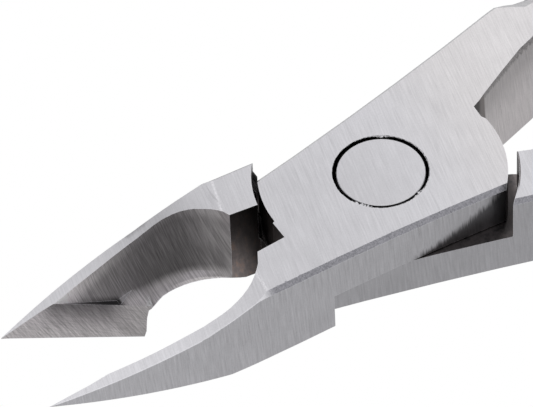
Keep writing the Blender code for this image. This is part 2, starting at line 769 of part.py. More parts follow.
def make_grip(name, side, material):
    """A dipped sleeve, open at the front and closed at the rear."""
    wall = GRIP_CLEARANCE + GRIP_WALL
    inside = [(HANDLE_END_X + 0.25, 0.0, 0.62), (HANDLE_END_X, 0.1, 0.9), (90.4, GRIP_CLEARANCE, 1.0)]
    inside += [(x, GRIP_CLEARANCE, 1.0) for x in grip_stations()[::-1]]
    inside += [(GRIP_START_X, GRIP_CLEARANCE, 1.0)]
    outside = [
        (GRIP_START_X, wall - 0.3, 1.0), (GRIP_START_X + 0.25, wall + GRIP_LIP - 0.1, 1.0),
        (GRIP_START_X + 0.6, wall + GRIP_LIP, 1.0), (GRIP_LIP_END_X - 0.5, wall + GRIP_LIP, 1.0),
        (GRIP_LIP_END_X, wall, 1.0),
    ]
    outside += [(x, wall, 1.0) for x in grip_stations()]
    outside += [
        (91.0, wall, 1.0), (92.6, wall, 0.93), (93.6, wall, 0.78), (94.1, wall, 0.55),
        (GRIP_END_X, wall, 0.28),
    ]
    rings = []
    for x, grow, shrink in inside + outside:
        rings.append([(x, -side * y, z) for y, z in round_section(x, grow, shrink)])
    return tidy_mesh(loft(name, rings, material), 45.0)


def main():
    clear_scene()
    make_half("half_a_upper_lap", -1, True, half_material("half_a_steel"))
    make_half("half_b_lower_lap", 1, False, half_material("half_b_steel"))
    make_rivet()
    make_collar()
    make_spring("leaf_spring_a", -1, bead_outline(), spring_material("spring_a_steel"))
    make_spring("leaf_spring_b", 1, socket_outline(), spring_material("spring_b_steel"))
    make_screw("spring_screw_a", -1, screw_material("screw_a_steel"))
    make_screw("spring_screw_b", 1, screw_material("screw_b_steel"))
    make_grip("grip_a", -1, grip_material("grip_a_vinyl"))
    make_grip("grip_b", 1, grip_material("grip_b_vinyl"))


main()
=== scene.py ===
"""Looks for the sprue nippers: brushed steel halves, riveted pivot, leaf springs and dipped grips.

Lengths in the code are in millimetres unless a name says otherwise.
"""

import math
import random

import bmesh
import bpy
from mathutils import Matrix, Vector


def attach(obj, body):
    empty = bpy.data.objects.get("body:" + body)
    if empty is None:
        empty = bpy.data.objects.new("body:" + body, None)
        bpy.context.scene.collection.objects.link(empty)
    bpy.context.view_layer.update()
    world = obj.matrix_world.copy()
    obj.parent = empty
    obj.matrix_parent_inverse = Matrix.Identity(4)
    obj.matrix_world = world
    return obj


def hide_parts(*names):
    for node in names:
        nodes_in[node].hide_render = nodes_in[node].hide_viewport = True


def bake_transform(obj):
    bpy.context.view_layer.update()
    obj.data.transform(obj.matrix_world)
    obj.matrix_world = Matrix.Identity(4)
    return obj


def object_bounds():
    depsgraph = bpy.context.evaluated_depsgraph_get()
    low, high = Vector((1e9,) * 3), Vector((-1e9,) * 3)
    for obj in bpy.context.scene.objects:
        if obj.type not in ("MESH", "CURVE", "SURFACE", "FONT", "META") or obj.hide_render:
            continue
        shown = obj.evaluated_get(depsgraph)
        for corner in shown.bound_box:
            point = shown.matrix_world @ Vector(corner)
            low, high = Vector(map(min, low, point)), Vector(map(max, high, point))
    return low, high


MM = 0.001

# Camera, with its place in millimetres
CAMERA_PLACE = (-108.79, -192.74, 251.12)
CAMERA_RIGHT = (0.86834, -0.49477, -0.03453)
CAMERA_BACK = (-0.30764, -0.59192, 0.74498)
CAMERA_LENS = 337.7
CAMERA_SENSOR = 36.0

# Studio light: the world's level near the floor and overhead, and the floor's own level
DOME_LOW = 0.5
DOME_HIGH = 1.0
FLOOR_GLOW = 0.48
FLOOR_SIZE = 1.5

# How bright that light shows a metal face: one towards -Y, a chamfer towards -Y, and one facing up
SIDE_GAIN = 0.477
CHAMFER_GAIN = 0.93
LEDGE_GAIN = 0.9
TOP_GAIN = 0.967

# Tints of steel and of the scale on it, as shares of red, green and blue, and the colours of painted
# highlights on sharp edges, on the jaw's crease and on the chamfers that face +Y
COOL = (0.995, 0.985, 1.03)
WARM = (1.035, 0.985, 0.995)
PALE = (1.012, 0.985, 1.0)
RUST = (1.22, 0.93, 0.86)
EDGE_HIGHLIGHT = (0.86, 0.86, 0.89)
CREASE_HIGHLIGHT = (0.74, 0.73, 0.76)
FAR_CHAMFER_HIGHLIGHT = (0.95, 0.94, 0.97)

# Places on the steel halves in the rest pose
THICKNESS = 6.68
UPPER_Z = 6.2
ROOT_X = -10.42
HANDLE_SLOPE = 0.235
CREASE_A = (11.56, 11.35)
CREASE_B = (9.86, 10.63)
LEDGE_SLOPE = 0.506
LEDGE_START = (22.6, 3.42)
BORE_R = 3.25
SHOULDER_R = 8.6
GRIP_LIP_X = 38.95

# Where the jaw's hollow runs out into the heel, and the angle up to which it is shaded as round there
HEEL_SPAN = (-16.5, -15.2)
HEEL_ANGLE = 50.0

# Angles up to which the halves' edges are shaded as round, ahead of HALF_ROUND_X and behind it
HALF_FINE = 13
HALF_ROUND = 40
HALF_ROUND_X = 20


# ---------------------------------------------------------------- node helpers


class Nodes:
    """A short way to write shader node trees."""

    def __init__(self, tree):
        self.tree = tree

    def add(self, kind, **settings):
        node = self.tree.nodes.new(kind)
        for key, value in settings.items():
            setattr(node, key, value)
        return node

    def put(self, socket, value):
        if isinstance(value, bpy.types.NodeSocket):
            self.tree.links.new(value, socket)
        elif value is not None:
            socket.default_value = value

    def math(self, operation, a, b=None, c=None):
        node = self.add("ShaderNodeMath", operation=operation)
        for socket, value in zip(node.inputs, (a, b, c)):
            self.put(socket, value)
        return node.outputs[0]

    def vector(self, operation, a, b=None):
        node = self.add("ShaderNodeVectorMath", operation=operation)
        for socket, value in zip(node.inputs, (a, b)):
            self.put(socket, value)
        return node.outputs["Value" if operation == "DOT_PRODUCT" else "Vector"]

    def combine(self, x, y, z):
        node = self.add("ShaderNodeCombineXYZ")
        for socket, value in zip(node.inputs, (x, y, z)):
            self.put(socket, value)
        return node.outputs[0]

    def split(self, vector):
        node = self.add("ShaderNodeSeparateXYZ")
        self.put(node.inputs[0], vector)
        return node.outputs

    def noise(self, vector, scale, detail=2.0, rough=0.5):
        node = self.add("ShaderNodeTexNoise")
        self.put(node.inputs["Vector"], vector)
        node.inputs["Scale"].default_value = scale
        node.inputs["Detail"].default_value = detail
        node.inputs["Roughness"].default_value = rough
        return node.outputs["Fac"]

    def remap(self, value, low, high, new_low=0.0, new_high=1.0, smooth=True):
        node = self.add("ShaderNodeMapRange", clamp=True)
        node.interpolation_type = "SMOOTHSTEP" if smooth else "LINEAR"
        for socket, item in zip(node.inputs, (value, low, high, new_low, new_high)):
            self.put(socket, item)
        return node.outputs[0]

    def mix(self, factor, a, b):
        node = self.add("ShaderNodeMix", data_type="RGBA")
        self.put(node.inputs["Factor"], factor)
        for name, value in (("A", a), ("B", b)):
            socket = [s for s in node.inputs if s.name == name and s.type == "RGBA"][0]
            if isinstance(value, tuple):
                value = (*value, 1.0) if len(value) == 3 else value
            self.put(socket, value)
        return [s for s in node.outputs if s.type == "RGBA"][0]

    def lerp(self, factor, a, b):
        node = self.add("ShaderNodeMix", data_type="FLOAT")
        self.put(node.inputs["Factor"], factor)
        sockets = [s for s in node.inputs if s.type == "VALUE" and s.name in ("A", "B")]
        for socket, value in zip(sockets, (a, b)):
            self.put(socket, value)
        return [s for s in node.outputs if s.type == "VALUE"][0]


def new_material(name):
    material = bpy.data.materials.new(name)
    material.use_nodes = True
    nodes = Nodes(material.node_tree)
    shader = material.node_tree.nodes["Principled BSDF"]
    return material, nodes, shader


def place_and_normal(nodes):
    """Object position in millimetres and object normal."""
    coords = nodes.add("ShaderNodeTexCoord")
    place = nodes.add("ShaderNodeVectorMath", operation="SCALE")
    nodes.put(place.inputs[0], coords.outputs["Object"])
    place.inputs["Scale"].default_value = 1000.0
    return place.outputs[0], coords.outputs["Normal"]


def streaks(nodes, place, along, across, length, width, seed):
    """Fine parallel scratches. along and across are directions in object space."""
    u = nodes.vector("DOT_PRODUCT", place, across)
    v = nodes.vector("DOT_PRODUCT", place, along)
    fine = nodes.combine(nodes.math("DIVIDE", u, width), nodes.math("DIVIDE", v, length), seed)
    return nodes.noise(fine, 1.0, 2.0, 0.6)


# ---------------------------------------------------------------- materials


def bright(shown, gain):
    """The base level that shows as this 0 to 255 grey under a light of that gain."""
    s = shown / 255.0
    linear = s / 12.92 if s <= 0.04045 else ((s + 0.055) / 1.055) ** 2.4
    return linear / gain


def tone_line(nodes, value, points, gain):
    """A level that follows value through (value, shown grey) points."""
    low = points[0][0]
    high = points[-1][0]
    node = nodes.add("ShaderNodeValToRGB")
    ramp = node.color_ramp
    ramp.interpolation = "LINEAR"
    while len(ramp.elements) < len(points):
        ramp.elements.new(0.5)
    for element, (at, shown) in zip(ramp.elements, points):
        element.position = (at - low) / (high - low)
    for element, (at, shown) in zip(ramp.elements, points):
        level = bright(shown, gain)
        element.color = (level, level, level, 1.0)
    nodes.put(node.inputs[0], nodes.remap(value, low, high, smooth=False))
    return node.outputs[0]


def tint(nodes, level, red, green, blue):
    node = nodes.add("ShaderNodeCombineColor")
    for socket, share in zip(node.inputs, (red, green, blue)):
        nodes.put(socket, nodes.math("MULTIPLY", level, share))
    return node.outputs[0]


def all_of(nodes, *masks):
    result = masks[0]
    for mask in masks[1:]:
        result = nodes.math("MULTIPLY", result, mask)
    return result


def edge_highlight_mask(nodes, reach):
    """1 on the sharp edges, 0 on the faces."""
    bevel = nodes.add("ShaderNodeBevel", samples=6)
    bevel.inputs["Radius"].default_value = reach * MM
    true = nodes.add("ShaderNodeNewGeometry").outputs["True Normal"]
    flat = nodes.vector("DOT_PRODUCT", bevel.outputs[0], true)
    return nodes.remap(flat, 0.99, 0.9)


class Surface:
    """The shared inputs of a steel material: place, normal, masks and brushing."""

    def __init__(self, name, seed):
        self.material, self.nodes, self.shader = new_material(name)
        nodes = self.nodes
        self.place, self.normal = place_and_normal(nodes)
        self.x, self.y, self.z = nodes.split(self.place)
        self.nx, self.ny, self.nz = nodes.split(self.normal)
        self.up = nodes.remap(nodes.math("ABSOLUTE", self.nz), 0.72, 0.9)
        a = math.radians(77.0)
        along = (math.cos(a), math.sin(a), 0.0)
        across = (math.sin(a), -math.cos(a), 0.0)
        top = streaks(nodes, self.place, along, across, 2.6, 0.1, seed)
        coarse = streaks(nodes, self.place, along, across, 5.0, 0.35, seed + 2.0)
        top = nodes.lerp(0.25, top, coarse)
        wall = streaks(nodes, self.place, (0.0, 0.0, 1.0), (0.96, 0.28, 0.06), 2.4, 0.11, seed + 4.0)
        self.grain = nodes.lerp(self.up, wall, top)
        self.speckle = nodes.noise(self.place, 9.0, 3.0, 0.65)
        self.broad = nodes.noise(self.place, 0.45, 3.0, 0.55)

    def between(self, value, low, high, soft):
        nodes = self.nodes
        above = nodes.remap(value, low - soft, low + soft)
        below = nodes.remap(value, high + soft, high - soft)
        return nodes.math("MULTIPLY", above, below)

    def above(self, value, level, soft):
        return self.nodes.remap(value, level - soft, level + soft)

    def below(self, value, level, soft):
        return self.nodes.remap(value, level + soft, level - soft)

    def finish(self, colour, grain_amount, rough, edges=0.8):
        """Brushing, speckle and painted highlights on the sharp edges over the base colour."""
        nodes = self.nodes
        swing = nodes.math("MULTIPLY", nodes.math("SUBTRACT", self.grain, 0.5), grain_amount)
        spots = nodes.math("MULTIPLY", nodes.math("SUBTRACT", self.speckle, 0.5), 0.22)
        patches = nodes.math("MULTIPLY", nodes.math("SUBTRACT", self.broad, 0.5), 0.12)
        total = nodes.math("ADD", 1.0, nodes.math("ADD", swing, nodes.math("ADD", spots, patches)))
        shade = nodes.add("ShaderNodeVectorMath", operation="SCALE")
        nodes.put(shade.inputs[0], colour)
        nodes.put(shade.inputs["Scale"], total)
        # Painted highlight along the sharp edges, made patchy by the speckle
        patchy = nodes.remap(self.speckle, 0.35, 0.6, 0.25 * edges, edges)
        edge_highlight = nodes.math("MULTIPLY", edge_highlight_mask(nodes, 0.055), patchy)
        lit = nodes.mix(edge_highlight, shade.outputs[0], EDGE_HIGHLIGHT)
        nodes.put(self.shader.inputs["Base Color"], lit)
        self.shader.inputs["Metallic"].default_value = 1.0
        swing = nodes.math("MULTIPLY", nodes.math("SUBTRACT", self.grain, 0.5), 0.25)
        nodes.put(self.shader.inputs["Roughness"], nodes.math("ADD", rough, swing))
        bump = nodes.add("ShaderNodeBump")
        bump.inputs["Strength"].default_value = 0.35
        bump.inputs["Distance"].default_value = 0.02 * MM
        nodes.put(bump.inputs["Height"], self.grain)
        nodes.put(self.shader.inputs["Normal"], bump.outputs[0])
        return self.material


def crease_line(s, crease, side):
    """A painted highlight: a fine bright line where the jaw's top begins to fall away, between two distances
    ahead of the pivot.
    """
    nodes = s.nodes
    outer_x, inner_x = crease
    across = nodes.math("MULTIPLY", nodes.math("SUBTRACT", 5.4, nodes.math("MULTIPLY", s.y, side)), 0.36)
    line_x = nodes.math("MULTIPLY_ADD", across, -(inner_x - outer_x), -outer_x)
    off = nodes.math("ABSOLUTE", nodes.math("SUBTRACT", s.x, line_x))
    line = all_of(nodes, nodes.remap(off, 0.16, 0.02), s.above(s.nz, 0.8, 0.1), s.above(s.z, UPPER_Z, 0.1))
    return nodes.math("MULTIPLY", line, nodes.remap(s.speckle, 0.3, 0.6, 0.2, 0.9)), CREASE_HIGHLIGHT


def chamfers(s, start_x):
    """The narrow bevels along the edges that face -Y."""
    nodes = s.nodes
    ragged = nodes.math("MULTIPLY", nodes.math("SUBTRACT", s.speckle, 0.5), 0.34)
    slope = nodes.math("ADD", nodes.math("ABSOLUTE", s.nz), ragged)
    return all_of(
        nodes,
        s.between(slope, 0.45, 0.86, 0.06),
        s.between(s.x, start_x + 0.3, 30.0, 0.5),
        s.below(s.ny, -0.2, 0.1),
    )


def chamfer_colour(s):
    level = s.nodes.remap(s.speckle, 0.32, 0.66, bright(126, CHAMFER_GAIN), bright(152, CHAMFER_GAIN))
    return tint(s.nodes, level, 0.98, 0.97, 1.06)


def chipped_edge(s):
    """Small chips where the top face of half A meets the chamfer on its jaw side."""
    nodes = s.nodes
    side = nodes.math(
        "MAXIMUM",
        nodes.math("MULTIPLY_ADD", s.x, 0.027, 5.314),
        nodes.math("MULTIPLY_ADD", s.x, -0.0155, 5.229),
    )
    chips = nodes.noise(nodes.combine(s.x, nodes.math("MULTIPLY", s.y, 0.6), 0.0), 3.2, 3.0, 0.65)
    reach = nodes.math("MULTIPLY_ADD", nodes.math("SUBTRACT", chips, 0.5), 0.42, 0.28)
    inside = nodes.math("SUBTRACT", nodes.math("ADD", side, s.y), reach)
    return all_of(
        nodes, nodes.remap(inside, 0.03, -0.03), s.between(s.x, -11.2, 6.4, 0.3),
        s.above(s.nz, 0.85, 0.1), s.above(s.z, UPPER_Z, 0.1),
    )


def painted(s, colour, layers):
    """The colour with each layer's paint laid over it through the layer's mask."""
    for mask, paint in layers:
        colour = s.nodes.mix(mask, colour, paint)
    return colour


def half_a_ground(s):
    """The ground top and sides of half A, with painted light and shade: top and sides each take their own
    tone, which changes along the length.
    """
    nodes = s.nodes
    top = tone_line(
        nodes, s.x,
        ((-27.0, 214), (-19.0, 210), (-12.5, 197), (-5.0, 199),
         (0.0, 204), (6.0, 208), (12.0, 216), (20.0, 219)),
        TOP_GAIN,
    )
    side = tone_line(
        nodes, s.x, ((-27.0, 166), (-12.0, 158), (-5.0, 154), (3.0, 150), (20.0, 152)), SIDE_GAIN
    )
    top_colour = nodes.mix(nodes.remap(s.x, 1.0, 10.0), tint(nodes, top, *COOL), tint(nodes, top, *PALE))
    return nodes.mix(s.up, tint(nodes, side, *COOL), top_colour)


def handle_a_inside(s):
    """The inner wall of handle A, with painted shade that darkens it towards the top, and the torn upper edge
    that the top's grinding left.
    """
    nodes = s.nodes
    mask = all_of(nodes, s.above(s.x, 9.3, 0.15), s.below(s.ny, -0.5, 0.1), s.above(s.y, 0.0, 0.5))
    level = tone_line(nodes, s.z, ((0.0, 165), (2.6, 167), (4.2, 157), (5.2, 146), (6.4, 142)), SIDE_GAIN)
    along = nodes.combine(nodes.math("MULTIPLY_ADD", s.y, 1.6, s.x), 0.0, 0.0)
    tooth_z = nodes.math("MULTIPLY_ADD", nodes.noise(along, 2.6, 3.0, 0.7), -1.5, 6.9)
    torn = nodes.remap(nodes.math("SUBTRACT", s.z, tooth_z), -0.08, 0.12)
    torn_level = nodes.remap(s.speckle, 0.3, 0.7, bright(98, SIDE_GAIN), bright(132, SIDE_GAIN))
    return mask, tint(nodes, nodes.lerp(torn, level, torn_level), *WARM)


def lap_a_notch(s):
    """The small notch behind lap A, with painted shade that makes it dark at one side."""
    nodes = s.nodes
    curve_x = nodes.math("MULTIPLY_ADD", s.z, -0.06, 9.85)
    mask = all_of(
        nodes, s.above(s.x, 7.9, 0.1), s.below(nodes.math("SUBTRACT", s.x, curve_x), 0.0, 0.06),
        s.between(s.y, 0.2, 3.0, 0.2), s.below(s.nz, 0.5, 0.2),
    )
    level = nodes.remap(s.x, 8.75, 9.15, bright(46, SIDE_GAIN), bright(94, SIDE_GAIN))
    return mask, tint(nodes, level, 1.08, 0.97, 0.96)


def far_chamfers(s):
    """The chamfers that face +Y, painted near-white as a highlight of the light from overhead."""
    mask = all_of(
        s.nodes, s.between(s.nz, 0.45, 0.86, 0.06), s.above(s.ny, 0.2, 0.1), s.above(s.z, 5.5, 0.2)
    )
    return mask, FAR_CHAMFER_HIGHLIGHT


def lap_a_shade(s):
    """The dark, ragged diagonal on the side of lap A, above the other half's floor: painted shade that deepens
    the reflection of that floor.
    """
    nodes = s.nodes
    past = nodes.math("MAXIMUM", nodes.math("ADD", s.x, 0.3), 0.0)
    rise = nodes.math("MULTIPLY_ADD", past, 0.045, 0.2)
    shade_z = nodes.math("MULTIPLY_ADD", past, rise, 3.45)
    ragged_z = nodes.math("MULTIPLY_ADD", nodes.math("SUBTRACT", s.grain, 0.5), 1.6, shade_z)
    mask = all_of(
        nodes,
        nodes.remap(nodes.math("SUBTRACT", s.z, ragged_z), 0.5, -0.45),
        s.above(s.x, -0.6, 0.4), s.below(s.y, -4.9, 0.1), s.below(s.ny, -0.5, 0.1),
    )
    return nodes.math("MULTIPLY", mask, 0.82), tint(nodes, 0.03, *COOL)


def lap_a_hidden(s):
    """The faces of half A inside the joint, painted near-black as shade, with patches of rust."""
    nodes = s.nodes
    far_side = nodes.math("MULTIPLY_ADD", s.x, HANDLE_SLOPE, 5.2)
    mask = all_of(
        nodes,
        s.between(s.x, -10.3, 8.1, 0.1),
        s.above(s.y, -5.0, 0.1),
        s.above(nodes.math("SUBTRACT", far_side, s.y), 0.0, 0.1),
        s.below(s.nz, 0.6, 0.15),
        s.above(s.z, 0.1, 0.02),
    )
    return mask, nodes.mix(s.broad, tint(nodes, 0.022, *COOL), tint(nodes, 0.06, *RUST))


def half_a_steel(name):
    s = Surface(name, 1.0)
    layers = (
        handle_a_inside(s),
        lap_a_notch(s),
        (s.nodes.math("MAXIMUM", chamfers(s, -11.8), chipped_edge(s)), chamfer_colour(s)),
        far_chamfers(s),
        lap_a_shade(s),
        lap_a_hidden(s),
        crease_line(s, CREASE_A, -1.0),
    )
    return s.finish(painted(s, half_a_ground(s), layers), 0.55, 0.33)


def half_b_ground(s):
    """The ground top and sides of half B, with painted light and shade: top and sides each take their own
    tone, which changes along the length.
    """
    nodes = s.nodes
    top = tone_line(
        nodes, s.x, ((-27.0, 206), (-20.0, 195), (-14.0, 190), (-8.0, 201), (8.0, 207), (20.0, 212)), TOP_GAIN
    )
    side = tone_line(nodes, s.x, ((-27.0, 150), (0.0, 144), (20.0, 148)), SIDE_GAIN)
    return nodes.mix(s.up, tint(nodes, side, *COOL), tint(nodes, top, *COOL))


def over_ledge(s):
    """Height above the sloping ledge that tops the blade's facet."""
    nodes = s.nodes
    ahead, height = LEDGE_START
    past = nodes.math("MULTIPLY", s.x, -1.0)
    ledge_z = nodes.math("MULTIPLY_ADD", past, LEDGE_SLOPE, height - LEDGE_SLOPE * ahead)
    return nodes.math("SUBTRACT", s.z, ledge_z)


def scoop_level(s, over):
    """The scooped wall, with painted light and shade: darker along its length and with depth, a painted
    highlight at its lower edge, and painted shade in the corner by the ledge.
    """
    nodes = s.nodes
    level = tone_line(
        nodes, s.x,
        ((-23.0, 172), (-21.7, 150), (-20.6, 126), (-19.2, 110), (-18.2, 101), (-16.6, 88), (-15.0, 83),
         (-13.2, 82), (-12.4, 88), (-11.8, 101), (-11.2, 110), (-10.4, 118)),
        SIDE_GAIN,
    )
    strip_z = nodes.math("MINIMUM", nodes.math("MULTIPLY_ADD", s.x, 0.4, 11.8), 6.5)
    depth = nodes.math("SUBTRACT", strip_z, s.z)
    level = nodes.math("MULTIPLY", level, nodes.remap(depth, 1.2, 0.1, 1.0, 1.55))
    level = nodes.math("MULTIPLY", level, nodes.remap(depth, 1.5, 4.2, 1.0, 0.82))
    low_z = nodes.remap(s.x, -18.0, -13.0, 1.35, 0.95, smooth=False)
    lower_edge_highlight = nodes.remap(nodes.math("SUBTRACT", s.z, low_z), 0.42, -0.42)
    lower_edge_highlight = nodes.math("MULTIPLY", lower_edge_highlight, s.above(s.x, -17.9, 0.25))
    level = nodes.lerp(lower_edge_highlight, level, bright(134, SIDE_GAIN))
    corner = all_of(
        nodes, nodes.remap(over, 0.45, 0.05), s.above(over, -0.12, 0.03),
        nodes.remap(s.x, -22.0, -18.9, 0.05, 0.4), s.below(s.x, -18.1, 0.15),
    )
    return nodes.math("MULTIPLY", level, nodes.math("SUBTRACT", 1.0, corner))


def facet_level(s, over):
    """The flat blade facet, with painted shade: dark under the ledge and lighter towards the cutting edge."""
    nodes = s.nodes
    under = nodes.math("MULTIPLY", over, -1.0)
    level = tone_line(nodes, under, ((0.0, 100), (0.4, 110), (1.2, 140), (2.0, 156), (3.0, 160)), SIDE_GAIN)
    level = nodes.lerp(s.above(s.x, -18.6, 0.9), level, bright(142, SIDE_GAIN))
    return nodes.lerp(s.below(s.x, -23.6, 0.9), level, bright(158, SIDE_GAIN))


def jaw_b_inside(s, over):
    """The scoop and the facet, each with its painted shade and its own grinding marks."""
    nodes = s.nodes
    mask = all_of(
        nodes, s.below(s.x, ROOT_X, 0.02), s.below(s.ny, -0.3, 0.15), s.above(s.y, 1.0, 0.2)
    )
    on_facet = all_of(nodes, s.below(over, 0.0, 0.02), s.below(s.x, -16.2, 0.1))
    level = nodes.lerp(on_facet, scoop_level(s, over), facet_level(s, over))
    steep = streaks(nodes, s.place, (0.2, 0.0, -0.98), (0.97, 0.2, 0.2), 2.6, 0.085, 21.0)
    slant = streaks(nodes, s.place, (0.45, 0.0, -0.9), (0.9, 0.0, 0.45), 2.2, 0.09, 23.0)
    cross = streaks(nodes, s.place, (0.75, 0.0, -0.5), (0.5, 0.0, 0.75), 1.6, 0.08, 25.0)
    slant = nodes.lerp(0.3, slant, cross)
    scoop_marks = nodes.remap(steep, 0.25, 0.75, 0.7, 1.3)
    facet_marks = nodes.remap(slant, 0.25, 0.75, 0.66, 1.34)
    level = nodes.math("MULTIPLY", level, nodes.lerp(on_facet, scoop_marks, facet_marks))
    return mask, tint(nodes, level, *WARM)


def blade_ledge(s, over):
    """The narrow ledge between the scoop and the facet, with painted shade that darkens it towards the heel.
    """
    nodes = s.nodes
    mask = all_of(
        nodes, s.above(s.nz, 0.6, 0.15), s.between(s.x, -22.1, -18.1, 0.08), s.between(over, -0.25, 0.2, 0.05)
    )
    level = nodes.remap(s.x, -22.5, -19.0, bright(120, LEDGE_GAIN), bright(72, LEDGE_GAIN))
    return mask, tint(nodes, level, *COOL)


def root_wall(s, blotch):
    """The brown, unground wall between the shoulder and the scoop, with painted shade that darkens it towards
    its top and towards the shoulder.
    """
    nodes = s.nodes
    mask = all_of(
        nodes, s.between(s.x, ROOT_X, -8.0, 0.02), s.below(s.ny, -0.6, 0.1), s.above(s.y, 1.0, 0.3)
    )
    level = tone_line(
        nodes, s.z, ((0.0, 94), (0.8, 90), (1.8, 78), (2.8, 66), (3.8, 56), (5.5, 44), (6.6, 40)), SIDE_GAIN
    )
    level = nodes.math("MULTIPLY", level, nodes.remap(s.x, -10.4, -8.6, 1.4, 0.45))
    level = nodes.math("MULTIPLY", level, nodes.remap(blotch, 0.3, 0.7, 0.82, 1.18))
    plain = tint(nodes, level, 1.12, 0.97, 0.95)
    rusty = tint(nodes, level, 1.32, 0.98, 0.85)
    return mask, nodes.mix(nodes.remap(blotch, 0.5, 0.68), plain, rusty)


def lap_b_hidden(s, root, blotch):
    """The faces of half B inside the joint, the floor of its lap and the rim of its shoulder, painted dark as
    shade between the parts, darkest beside half A, with black blotches.
    """
    nodes = s.nodes
    outer = nodes.math("ADD", s.y, nodes.math("MULTIPLY_ADD", s.x, HANDLE_SLOPE, 5.1))
    below_top = nodes.math("SUBTRACT", s.z, nodes.math("MULTIPLY", root, 20.0))
    inside = all_of(
        nodes,
        s.above(s.x, -9.3, 0.1),
        s.below(nodes.math("MULTIPLY_ADD", s.grain, 1.8, s.x), 12.6, 1.6),
        s.above(outer, 0.0, 0.08),
        s.below(s.y, 5.1, 0.1),
        s.below(below_top, 6.55, 0.02),
        s.above(s.z, 0.1, 0.02),
        nodes.math("SUBTRACT", 1.0, root),
    )
    floor = all_of(
        nodes, s.above(s.nz, 0.7, 0.1), s.between(s.x, -9.4, 16.0, 0.05), s.between(s.z, 2.8, 5.0, 0.1)
    )
    length = nodes.add("ShaderNodeVectorMath", operation="LENGTH")
    nodes.put(length.inputs[0], nodes.combine(s.x, s.y, 0.0))
    radius = length.outputs["Value"]
    rim = all_of(nodes, s.between(radius, 9.0, 9.21, 0.02), s.above(s.x, 7.0, 0.3), s.above(s.z, UPPER_Z, 0.1))
    mask = nodes.math("MAXIMUM", nodes.math("MAXIMUM", inside, floor), rim)
    level = nodes.remap(s.x, 2.0, 9.0, bright(70, SIDE_GAIN), bright(82, SIDE_GAIN))
    level = nodes.math("MULTIPLY", level, nodes.remap(s.x, -3.0, 0.0, 0.6, 1.0))
    shade_beside_a = all_of(nodes, nodes.remap(radius, 9.3, 8.6), s.above(s.x, 6.0, 0.5))
    level = nodes.math("MULTIPLY", level, nodes.lerp(shade_beside_a, 1.0, 0.35))
    paint = nodes.mix(
        nodes.remap(blotch, 0.2, 0.6), tint(nodes, 0.05, *COOL), tint(nodes, level, 1.08, 0.97, 0.97)
    )
    return mask, paint


def half_b_steel(name):
    s = Surface(name, 11.0)
    nodes = s.nodes
    over = over_ledge(s)
    squashed = nodes.combine(s.x, s.y, nodes.math("MULTIPLY", s.z, 0.5))
    blotch = nodes.noise(squashed, 2.2, 4.0, 0.65)
    root = root_wall(s, blotch)
    layers = (
        (chamfers(s, -9.8), chamfer_colour(s)),
        jaw_b_inside(s, over),
        blade_ledge(s, over),
        root,
        lap_b_hidden(s, root[0], blotch),
        crease_line(s, CREASE_B, 1.0),
    )
    return s.finish(painted(s, half_b_ground(s), layers), 0.5, 0.34)


def plain_steel(name, shown, seed, rough=0.36, grain=0.45):
    """Steel of one tone, a little lighter towards +X as painted light, with brushing, speckle and painted
    highlights on the sharp edges.
    """
    s = Surface(name, seed)
    nodes = s.nodes
    # Painted light: the tone rises across X
    level = tone_line(nodes, s.x, ((-3.0, shown - 5), (3.0, shown + 4)), TOP_GAIN)
    return s.finish(tint(nodes, level, *COOL), grain, rough)


def shade_filler_steel(name):
    """Near-black, as painted shade, with a few grey rubbed streaks."""
    s = Surface(name, 61.0)
    nodes = s.nodes
    rub = streaks(nodes, s.place, (0.0, 0.0, 1.0), (0.5, 0.87, 0.0), 3.0, 0.22, 63.0)
    level = nodes.remap(rub, 0.45, 0.75, 0.012, 0.14)
    return s.finish(tint(nodes, level, 1.04, 0.98, 1.02), 0.3, 0.5, 0.1)


def burr_steel(name):
    """Torn edge metal: grey with dark specks, its steep sides painted near-black as shade in the ring gap."""
    s = Surface(name, 71.0)
    nodes = s.nodes
    level = nodes.remap(nodes.noise(s.place, 7.0, 2.0, 0.5), 0.38, 0.62, 0.2, 0.62)
    # Painted shade on the steep sides
    level = nodes.lerp(s.above(s.nz, 0.5, 0.2), 0.03, level)
    return s.finish(tint(nodes, level, *COOL), 0.3, 0.4, 0.3)


